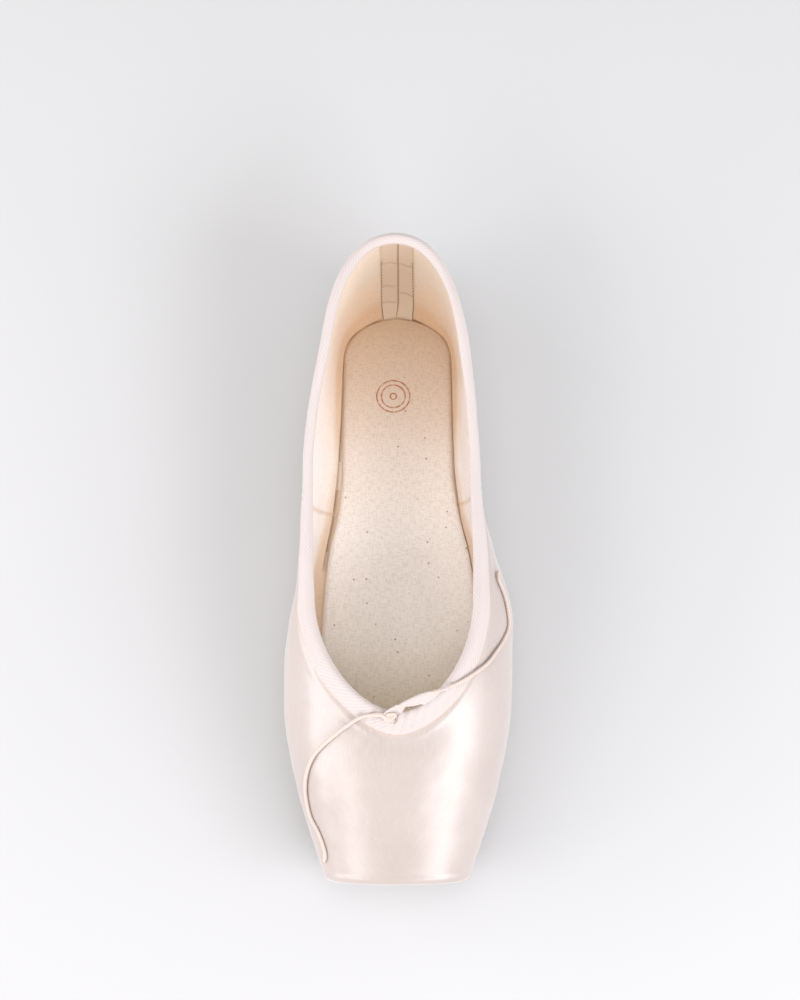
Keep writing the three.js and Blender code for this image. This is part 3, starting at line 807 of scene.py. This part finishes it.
def add_platform(bm, column, rows, dome, **how):
    """The flat end of the toe, across from rim to rim. The rim's own relief fades out on it."""
    lower = [row for row in rows if row[0] == "bottom"]
    upper = rows[len(lower) - 1 :]
    half = len(lower) - 1
    level = {key: (lambda *_: RIM_LEVEL) for key in how}

    def place(i, j):
        share = j / (2 * half)
        climb = i / (len(upper) - 1)
        edges = [(-1, upper[i]), (1, upper[i]), (-1 if j < half else 1, lower[abs(j - half)])]
        real = [row_place(side, column, row, **how) for side, row in edges]
        plain = [row_place(side, column, row, **level) for side, row in edges]
        if i == 0:
            return real[2]
        point = plain[0].lerp(plain[1], share)
        point.y -= dome * (1 - (2 * share - 1) ** 2) * 4 * climb * (1 - climb)
        away = [max((point - edge).length, 1e-4) for edge in plain]
        pull = sum(((a - b) / d**2 for a, b, d in zip(real, plain, away)), Vector((0, 0, 0)))
        return point + pull / sum(1 / d**2 for d in away) * ease(RIM_FADE, 0, min(away))

    add_cloth(bm, len(upper) - 1, 2 * half, place, flip=dome > 0)


def seam_shade(point, *_):
    """Painted shade in the stitched line along the casing."""
    return 0.55 * bump_at(casing_seam.find(point)[2], 0.45)


def make_satin():
    """The outside of the upper, fine enough for its seams and pleats to be real shapes."""
    columns = skin_columns(BINDING_WIDTH - SATIN_TUCK, *SATIN_STEPS)
    rows = skin_rows(34, 34, 56, 1.5)
    bm = bmesh.new()
    for sign in (-1, 1):

        def place(i, j):
            point = row_place(sign, columns[i], rows[j], relief=satin_relief)
            if j >= len(rows) - TUCKED_ROWS and i >= FIRST_SEAM_COLUMN:
                under = Vector((point.x * 0.99, point.y, point.z - 0.5))
                point = point.lerp(under, ease(0, 0.9, casing_seam.find(point)[2]))
            return point

        # Painted shade along the casing seam
        add_cloth(bm, len(columns) - 1, len(rows) - 1, place, flip=sign < 0, mark=seam_shade)
    add_platform(bm, columns[0], rows, 0.25, relief=satin_relief)
    bmesh.ops.remove_doubles(bm, verts=bm.verts, dist=RIM_MERGE)
    turn_in_edges(bm, SATIN_TURN_IN)
    link_piece("satin_upper", bm, SATIN, "upper")


def lining_relief(point):
    """Depth of the lining under the last's surface, with its side seams and slack."""
    depth = wall_thickness(point.y) - 0.25
    sign = -1 if point.x < 0 else 1
    seam = point.y - SIDE_SEAM_Y[sign]
    depth += 0.35 * bump_at(seam - 0.9, 0.8) - 0.25 * bump_at(seam, 0.35)
    depth += 0.5 * max(0.0, noise.noise(Vector((point.x * 0.03, point.y * 0.05, point.z * 0.03))))
    return depth


def make_lining():
    """The inside of the upper, up to a line under the casing."""
    columns = skin_columns(LINING_EDGE, *LINING_STEPS)
    rows = skin_rows(6, 16, 20, 1)
    bm = bmesh.new()
    for sign in (-1, 1):
        add_cloth(
            bm,
            len(columns) - 1,
            len(rows) - 1,
            lambda i, j: row_place(sign, columns[i], rows[j], depth=lining_relief),
            flip=sign > 0,
            # Painted shade along the side seam
            mark=lambda point, *_: 0.5 * bump_at(point.y - SIDE_SEAM_Y[sign] - 0.4, 0.6),
        )
    add_platform(bm, columns[0], rows, 0.0, depth=lining_relief)
    bmesh.ops.remove_doubles(bm, verts=bm.verts, dist=RIM_MERGE)
    link_piece("cotton_lining", bm, LINING, "upper")


# Casing's section: (width outside the mouth's edge, height), over the skin on the outside
# and over the inside of the wall on the inside
CASING_OUTSIDE = [
    (8.3, -0.9), (8.25, -0.3), (8.05, 0.12), (7.7, 0.3), (7.1, 0.4), (6.3, 0.46),
    (5.4, 0.5), (4.6, 0.58), (3.9, 0.72), (3.2, 0.88), (2.5, 0.98), (1.8, 0.95),
    (1.1, 0.76), (0.5, 0.4), (0.1, -0.1), (0.0, -0.6),
]
CASING_INSIDE = [
    (0.0, 0.5), (0.3, 0.0), (0.9, -0.45), (1.8, -0.6), (2.8, -0.58), (3.6, -0.5),
    (4.4, -0.5), (4.7, -0.2), (4.8, 0.4),
]
CASING_PROFILE = [(*row, False) for row in CASING_OUTSIDE] + [(*row, True) for row in CASING_INSIDE]
CASING_STEPS = (110, 130, 56)
CASING_PUCKER_REACH = 26
HEEL_ROLL = 0.9

# Slit in the casing at the throat, from x to x, and its width
SLIT = (1.1, 7.6)
SLIT_GAP = 1.25


def casing_relief(point, width, inner):
    """Puckers where the drawstring draws the casing up at the throat, and small slack elsewhere."""
    from_knot = point - THROAT_KNOT
    relief = 0 if inner else slack(point)
    if from_knot.length < CASING_PUCKER_REACH:
        turn = math.atan2(from_knot.x, 3.0)
        fade = ease(CASING_PUCKER_REACH, 4, from_knot.length)
        relief += 0.2 * math.sin(from_knot.x * 1.7 + 0.5 * width + turn) * fade
    return relief * (0.4 if inner else 1.0)


def slit_shade(point, shown):
    """Painted shade in the slit of the casing."""
    start, end = SLIT
    return 0.9 * shown * ease(start - 0.6, start, point.x) * ease(end + 0.4, end, point.x)


def make_casing():
    lines = {width: mouth_line(width, *CASING_STEPS) for width, _, _ in CASING_PROFILE}
    count = len(lines[0.0]) - 1

    def turned_in(width, inner):
        return inner or width < 0.3

    def place(i, j):
        sign = -1 if i < count else 1
        width, height, inner = CASING_PROFILE[j]
        station, angle = lines[width][abs(i - count)]
        if width > 7.9:
            gather = 0.18 * math.sin(1.5 * (skin(sign, station, angle).x + 0.4)) ** 2
            angle -= gather * ease(6, 3, abs(skin(sign, station, angle).x))
        point = skin(sign, station, angle)
        rise = height - wall_thickness(point.y) if inner else height
        rise += casing_relief(point, width, inner)
        if turned_in(width, inner):
            rise -= HEEL_ROLL * ease(84, 112, station)
        return point + skin_normal(sign, station, min(angle, 89.9)) * rise

    # Painted shade in the slit, on the casing's turned-in part
    def shade(point, i, j):
        width, _, inner = CASING_PROFILE[j]
        return slit_shade(point, point.y < 0 and turned_in(width, inner))

    bm = bmesh.new()
    add_cloth(bm, 2 * count, len(CASING_PROFILE) - 1, place, mark=shade)
    bmesh.ops.remove_doubles(bm, verts=bm.verts, dist=EDGE_MERGE)
    link_piece("twill_casing", bm, TWILL, "collar_binding")


# Edge of the casing drawn straight across the throat, wrapped over the drawstring inside it
LIP_FIRST = (-5.6, -61.3, 1.5)
LIP_ROUTE_STOPS = 5
LIP_STEPS = 60
LIP_AROUND = 20
LIP_RIM_STEPS = 80
LIP_FRONT = 1.15
LIP_THICKNESS = (1.2, 0.36)
LIP_RAISE = 0.25
LIP_OVERLAP = 0.8


def make_throat_lip():
    """The casing between the straight drawn edge and the mouth's edge, with a slit left open."""
    stops = [LIP_FIRST] + RIGHT_ROUTE[:LIP_ROUTE_STOPS]
    edge = centripetal([place_over_skin(x, y, lift + LIP_RAISE) for x, y, lift in stops], 12)
    rim = []
    inner, outer = mouth_line(0, *CASING_STEPS), mouth_line(3.0, *CASING_STEPS)
    for sign in (-1, 1):
        for k in range(LIP_RIM_STEPS):
            here = skin(sign, *inner[k]) + skin_normal(sign, *inner[k]) * 0.55
            there = skin(sign, *outer[k]) + skin_normal(sign, *outer[k]) * 0.85
            rim.append((here.x, here, (there - here).normalized()))
    rim.sort(key=lambda entry: entry[0])
    slit_start, slit_end = SLIT

    def across(j):
        """The share of the way over from the drawn edge to the mouth's edge, and how high."""
        a = j / LIP_AROUND * math.tau
        return 0.5 - 0.5 * math.cos(a), math.sin(a)

    def place(i, j):
        t = i / LIP_STEPS
        at = t * (len(edge) - 1)
        k = min(int(at), len(edge) - 2)
        cord = edge[k].lerp(edge[k + 1], at - k)
        _, rim_point, outward = next((entry for entry in rim if entry[0] >= cord.x + 1.2), rim[-1])
        opened = ease(slit_start - 1.0, slit_start + 0.6, cord.x)
        opened *= ease(slit_end + 0.8, slit_end - 0.8, cord.x)
        gap = SLIT_GAP * mix(1.0, 0.1, ease(slit_start, slit_end, cord.x))
        back = rim_point + outward * mix(LIP_OVERLAP, -gap, opened)
        back.z += mix(-0.2, 0.25, opened)
        over = back - cord
        over.z = 0
        front = cord - over.normalized() * LIP_FRONT
        full = ease(0, 0.12, t) * ease(1, 0.9, t)
        back = cord.lerp(back, mix(0.3, 1.0, full))
        share, height = across(j)
        half = mix(*LIP_THICKNESS, ease(0.35, 0.85, share)) * mix(0.75, 1.0, full)
        point = front.lerp(back, share)
        point.z += (half + 0.1 * math.sin(t * 23 + share * 3)) * height
        return point

    bm = bmesh.new()
    add_cloth(
        bm, LIP_STEPS, LIP_AROUND, place,
        # Painted shade along the lip's edge at the slit
        mark=lambda point, i, j: slit_shade(point, ease(0.9, 1.0, across(j)[0])),
    )
    close_shell(bm)
    link_piece("throat_lip", bm, TWILL)


BAR_TACK = [(-0.9, -60.3), (-0.1, -61.4), (-0.6, -62.3), (-0.3, -63.1), (-1.2, -64.0)]
BAR_TACK_LIFT = 1.7


def make_bar_tack():
    """Dark zigzag of thread that closes the ends of the casing at the throat."""
    bm = bmesh.new()
    bm.loops.layers.uv.new("UVMap")
    corners = [place_over_skin(x, y, BAR_TACK_LIFT) for x, y in BAR_TACK]
    for first, last in zip(corners, corners[1:]):
        step = last - first
        middle = first.lerp(last, 0.5)
        add_stitch(bm, middle, step.normalized(), Vector((0, 0, 1)), step.length + 0.2, 0.4)
    link_piece("throat_bar_tack", bm, THREAD)


# Flat pieces: (y, half-width) along each outline, then an elliptic heel
FLAT_STEPS = (150, 26)
FLAT_CROWDING = 1.15
FLAT_ACROSS = 30
EDGE_ROUNDING = 0.45
SOCK_OUTLINE = [
    (-100, 8.5), (-96, 13.5), (-85, 20.0), (-70, 24.6), (-50, 28.0), (-30, 29.3), (-15, 28.8),
    (-4, 27.9), (5, 26.6), (17.5, 23.6), (24, 22.4), (37, 20.9), (60, 20.8), (83, 20.8),
]
SOCK_HEEL_ROUND = 15.4
SOCK_DRIFT = [(-60, 0), (-35, 0.4), (-12, 0.8), (12, 0.6), (40, 0)]
NO_DRIFT = [(0, 0), (1, 0)]
SOCK_THICKNESS = 2.7
SOCK_CROWN = 0.5
OUTSOLE_OUTLINE = [
    (-92, 9), (-91, 13), (-88, 17.6), (-82, 21.4), (-70, 25.4), (-52, 27.6), (-35, 26.8),
    (-20, 24.2), (-4, 20.4), (15, 17.0), (35, 16.0), (55, 17.2), (72, 18.9), (84, 18.9),
]
OUTSOLE_HEEL_ROUND = 17.5
OUTSOLE_THICKNESS = 2.2


def flat_columns(outline, heel_round, steps, heel_steps):
    """(y, half-width) of each column, closer together at the toe end."""
    (first_y, _), (last_y, last_half) = outline[0], outline[-1]
    places = [mix(first_y, last_y, (k / steps) ** FLAT_CROWDING) for k in range(steps + 1)]
    columns = [(y, along(outline, y)) for y in places]
    for k in range(1, heel_steps + 1):
        a = k / heel_steps * math.radians(84)
        columns.append((last_y + heel_round * math.sin(a), last_half * math.cos(a)))
    return columns


def make_flat_piece(name, outline, heel_round, drift, low, thickness, crown, material, node):
    """A flat piece with soft edges: rows go round its section, columns along the foot."""
    columns = flat_columns(outline, heel_round, *FLAT_STEPS)
    shares = [1 - k / FLAT_ACROSS * 2 for k in range(FLAT_ACROSS + 1)]
    section = [(share, 1) for share in shares] + [(-share, 0) for share in shares]
    section.append(section[0])

    def place(i, j):
        y, half = columns[i]
        share, top = section[j]
        z = low(y) + (thickness + crown * (1 - share**2)) * top
        if abs(share) == 1:
            z += EDGE_ROUNDING * (-1 if top else 1)
        return Vector((share * half + along(drift, y), y, z))

    bm = bmesh.new()
    add_cloth(bm, len(columns) - 1, len(section) - 1, place)
    close_shell(bm)
    link_piece(name, bm, material, node)


def sock_low(y):
    return max(floor_z(y), floor_z(y - 3)) + wall_thickness(y) + 0.3


def outsole_low(y):
    return floor_z(y) - 0.3 - OUTSOLE_THICKNESS


# Heel tape, over the back seam inside: (left edge, seam, right edge) in plan at its top and foot
TAPE_TOP = (-7.0, 0.3, 6.4)
TAPE_FOOT = (-7.3, 0.4, 7.7)
TAPE_LENGTH = 58

# Creases across the tape: (share of the way down, from side, to side)
TAPE_CREASES = [
    (0.38, -1, -0.05), (0.385, 0.1, 0.9), (0.585, -1, -0.2), (0.635, 0.1, 0.9), (0.725, -0.9, -0.1),
]


def heel_place(side, share, depth):
    """A point inside the heel: side is -1 and 1 at the tape's edges, share runs from mouth to sock."""
    left, seam, right = (mix(a, b, share) for a, b in zip(TAPE_TOP, TAPE_FOOT))
    x = mix(seam, left, -side) if side < 0 else mix(seam, right, side)
    angle = mix(edge_angle(LAST_STATION, 3.2), -88, share**0.8)
    middle = skin(1, LAST_STATION, angle).x
    sign = -1 if x < middle else 1
    station = LAST_STATION - abs(x - middle)
    for _ in range(4):
        point = skin(sign, station, angle)
        station = min(LAST_STATION, station + (abs(point.x - middle) - abs(x - middle)) / 0.95)
    point = skin(sign, station, angle)
    inside = point - skin_normal(sign, station, angle) * (wall_thickness(point.y) + depth)
    return soften_corner(inside) - Vector((0, 0.9, 0.6)) * ease(0.94, 1, share)


def make_heel_tape():
    """Tape in two halves, creased across and stitched down along both edges."""
    columns, rows = 36, 170

    def creased(side, share, width):
        total = 0.0
        for crease, start, end in TAPE_CREASES:
            kept = ease(start - 0.1, start + 0.1, side) * ease(end + 0.1, end - 0.1, side)
            bend = 0.012 * side + 0.004 * math.sin(side * 9 + crease * 40)
            total += bump_at((share - crease - bend) * TAPE_LENGTH, width) * kept
        return total

    def place(i, j):
        side = mix(-1, 1, i / columns)
        share = j / rows
        depth = 0.4 - 0.5 * bump_at(side, 0.045) - 0.62 * ease(0.88, 1, abs(side))
        return heel_place(side, share, depth - 0.3 * creased(side, share, 0.5))

    bm = bmesh.new()
    add_cloth(
        bm, columns, rows, place, flip=True,
        # Painted shade in the creases
        mark=lambda _, i, j: 0.38 * creased(mix(-1, 1, i / columns), j / rows, 0.4),
    )
    link_piece("heel_tape", bm, TAPE)


def make_back_seam():
    """The dark line of thread down the middle of the tape, where its halves meet."""
    bm = bmesh.new()
    half, columns, rows = 0.026, 4, 100

    def place(i, j):
        return heel_place(mix(-half, half, i / columns), j / rows, 0.42)

    add_cloth(bm, columns, rows, place, flip=True)
    link_piece("back_seam_thread", bm, THREAD)


# Stitches down the tape: the first, one past the last, and how many its whole length would take
STITCHES = (14, 38, 40)
STITCH_SIDE = 0.93
STITCH_LENGTH = 1.0
STITCH_WIDTH = 0.45


def add_stitch(bm, middle, direction, normal, length, width):
    """One stitch: a small rounded grain of thread, lying along a direction."""
    made = bmesh.ops.create_uvsphere(bm, u_segments=8, v_segments=4, radius=0.5)
    side = direction.cross(normal).normalized()
    for vert in made["verts"]:
        local = vert.co.copy()
        offset = direction * local.z * length + side * local.x * width + normal * local.y * width
        vert.co = in_frame(middle + offset)


def make_heel_stitches():
    """Running stitches down both edges of the tape."""
    bm = bmesh.new()
    bm.loops.layers.uv.new("UVMap")
    first, last, whole = STITCHES
    for side in (-STITCH_SIDE, STITCH_SIDE):
        for k in range(first, last):
            middle = heel_place(side, k / whole, STITCH_WIDTH)
            ahead = heel_place(side, k / whole + 0.01, STITCH_WIDTH)
            inward = (Vector((0, 70, middle.z)) - middle).normalized()
            direction = (ahead - middle).normalized()
            add_stitch(bm, middle, direction, inward, STITCH_LENGTH, STITCH_WIDTH)
    link_piece("heel_stitches", bm, THREAD)


# Drawstring

def add_tube(bm, line, radius, around):
    """Cord laid along a line of points; radius(k) is its own at each point."""
    last = len(line) - 1

    def place(i, j):
        ahead = (line[min(i + 1, last)] - line[max(i - 1, 0)]).normalized()
        side = ahead.cross(Vector((0, 0, 1))).normalized()
        a = j / around * math.tau
        return line[i] + (side * math.cos(a) + side.cross(ahead) * math.sin(a)) * radius(i)

    add_cloth(bm, last, around, place)
    close_shell(bm)


def make_cord(name, route, node):
    line = centripetal([place_over_skin(*stop) for stop in route], 8)
    path = [in_frame(point) for point in line]

    def radius(k):
        ends = min(1.0, 0.55 + 0.25 * min(k, len(line) - 1 - k))
        return CORD_DIAMETER / 2 * ends * (1 + 0.35 * ease(8, 0, (line[k] - line[0]).length))

    bm = bmesh.new()
    add_tube(bm, line, radius, CORD_SIDES)
    piece = link_piece(name, bm, STRING, node)
    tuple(path[0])
    sum((b - a).length for a, b in zip(path, path[1:]))


KNOT_SIZE = Vector((0.78, 0.42, 0.3))
KNOT_STEPS = 96
KNOT_SINK = Vector((0, 0, 0.4))
KNOT_CORD_RADIUS = 0.74
KNOT_SIDES = 12


def make_knot():
    """An overhand knot drawn tight: one cord laid round itself along a trefoil."""
    centre = place_over_skin(*KNOT) - KNOT_SINK
    line = []
    for k in range(KNOT_STEPS):
        t = k / KNOT_STEPS * math.tau
        x = math.sin(t) + 2 * math.sin(2 * t)
        y = math.cos(t) - 2 * math.cos(2 * t)
        line.append(centre + Vector((x, y, -math.sin(3 * t))) * KNOT_SIZE)
    bm = bmesh.new()
    add_tube(bm, line + line[:1], lambda _: KNOT_CORD_RADIUS, KNOT_SIDES)
    return link_piece("throat_knot", bm, STRING, "drawstring_knot")


knot = make_knot()
make_cord("drawstring_left_end", LEFT_ROUTE, "drawstring_left")
make_cord("drawstring_right_end", RIGHT_ROUTE, "drawstring_right")
make_satin()
make_lining()
make_casing()
make_throat_lip()
make_bar_tack()
make_flat_piece(
    "canvas_sock", SOCK_OUTLINE, SOCK_HEEL_ROUND, SOCK_DRIFT, sock_low, SOCK_THICKNESS,
    SOCK_CROWN, SOCK, "insole",
)
make_flat_piece(
    "suede_outsole", OUTSOLE_OUTLINE, OUTSOLE_HEEL_ROUND, NO_DRIFT, outsole_low,
    OUTSOLE_THICKNESS, 0.0, SUEDE, "outsole",
)
make_heel_tape()
make_back_seam()
make_heel_stitches()


# Studio

def paper(node, place):
    """Seamless background paper: matt and pale grey."""
    cloud = node("TexNoise", Vector=place, Scale=per_mm(330), Detail=2.0)
    colour = node("ValToRGB", {"stops": [(0.2, "#BFBFBF"), (0.8, "#C1C1C1")]}, Fac=cloud)
    return node("BsdfPrincipled", Base_Color=colour, Roughness=0.9)


def make_floor():
    bm = bmesh.new()
    bmesh.ops.create_grid(bm, x_segments=1, y_segments=1, size=2.0)
    link_mesh("studio_floor", bm, new_material("studio_paper", paper))


# Soft lights: name, place and aim in metres, width, height, watts and colour
SOFT_LIGHTS = [
    ("overhead_softbox", (0, 0.03, 1.0), (0, 0, 0.03), 0.5, 0.5, 1.5, "#FFFFFF"),
    ("left_softbox", (-0.68, -0.46, 0.62), (0, -0.08, 0.03), 1.0, 0.28, 4.2, "#FFFBFC"),
    ("right_softbox", (0.68, -0.52, 0.62), (0, -0.08, 0.03), 1.0, 0.4, 8.4, "#FAFAFF"),
    ("left_reflector", (-0.95, 0, 0.32), (0, 0, 0.03), 1.2, 0.35, 6.4, "#FDFBFF"),
    ("right_reflector", (0.95, 0, 0.32), (0, 0, 0.03), 1.2, 0.35, 2.5, "#FDFBFF"),
]


def make_light(name, place, aim, width, height, watts, colour):
    data = bpy.data.lights.new(name, "AREA")
    data.shape = "RECTANGLE"
    data.size = width
    data.size_y = height
    data.energy = watts
    data.color = linear(colour)[:3]
    light = link_object(name, data)
    light.location = place
    light.rotation_euler = (Vector(aim) - Vector(place)).to_track_quat("-Z", "Y").to_euler()


def light_studio():
    world = bpy.data.worlds.new("studio")
    world.use_nodes = True
    background = world.node_tree.nodes["Background"]
    background.inputs["Color"].default_value = linear("#F3F2F3")
    background.inputs["Strength"].default_value = 0.84
    bpy.context.scene.world = world
    for light in SOFT_LIGHTS:
        make_light(*light)
    bpy.context.scene.view_settings.view_transform = "Standard"


make_floor()
light_studio()
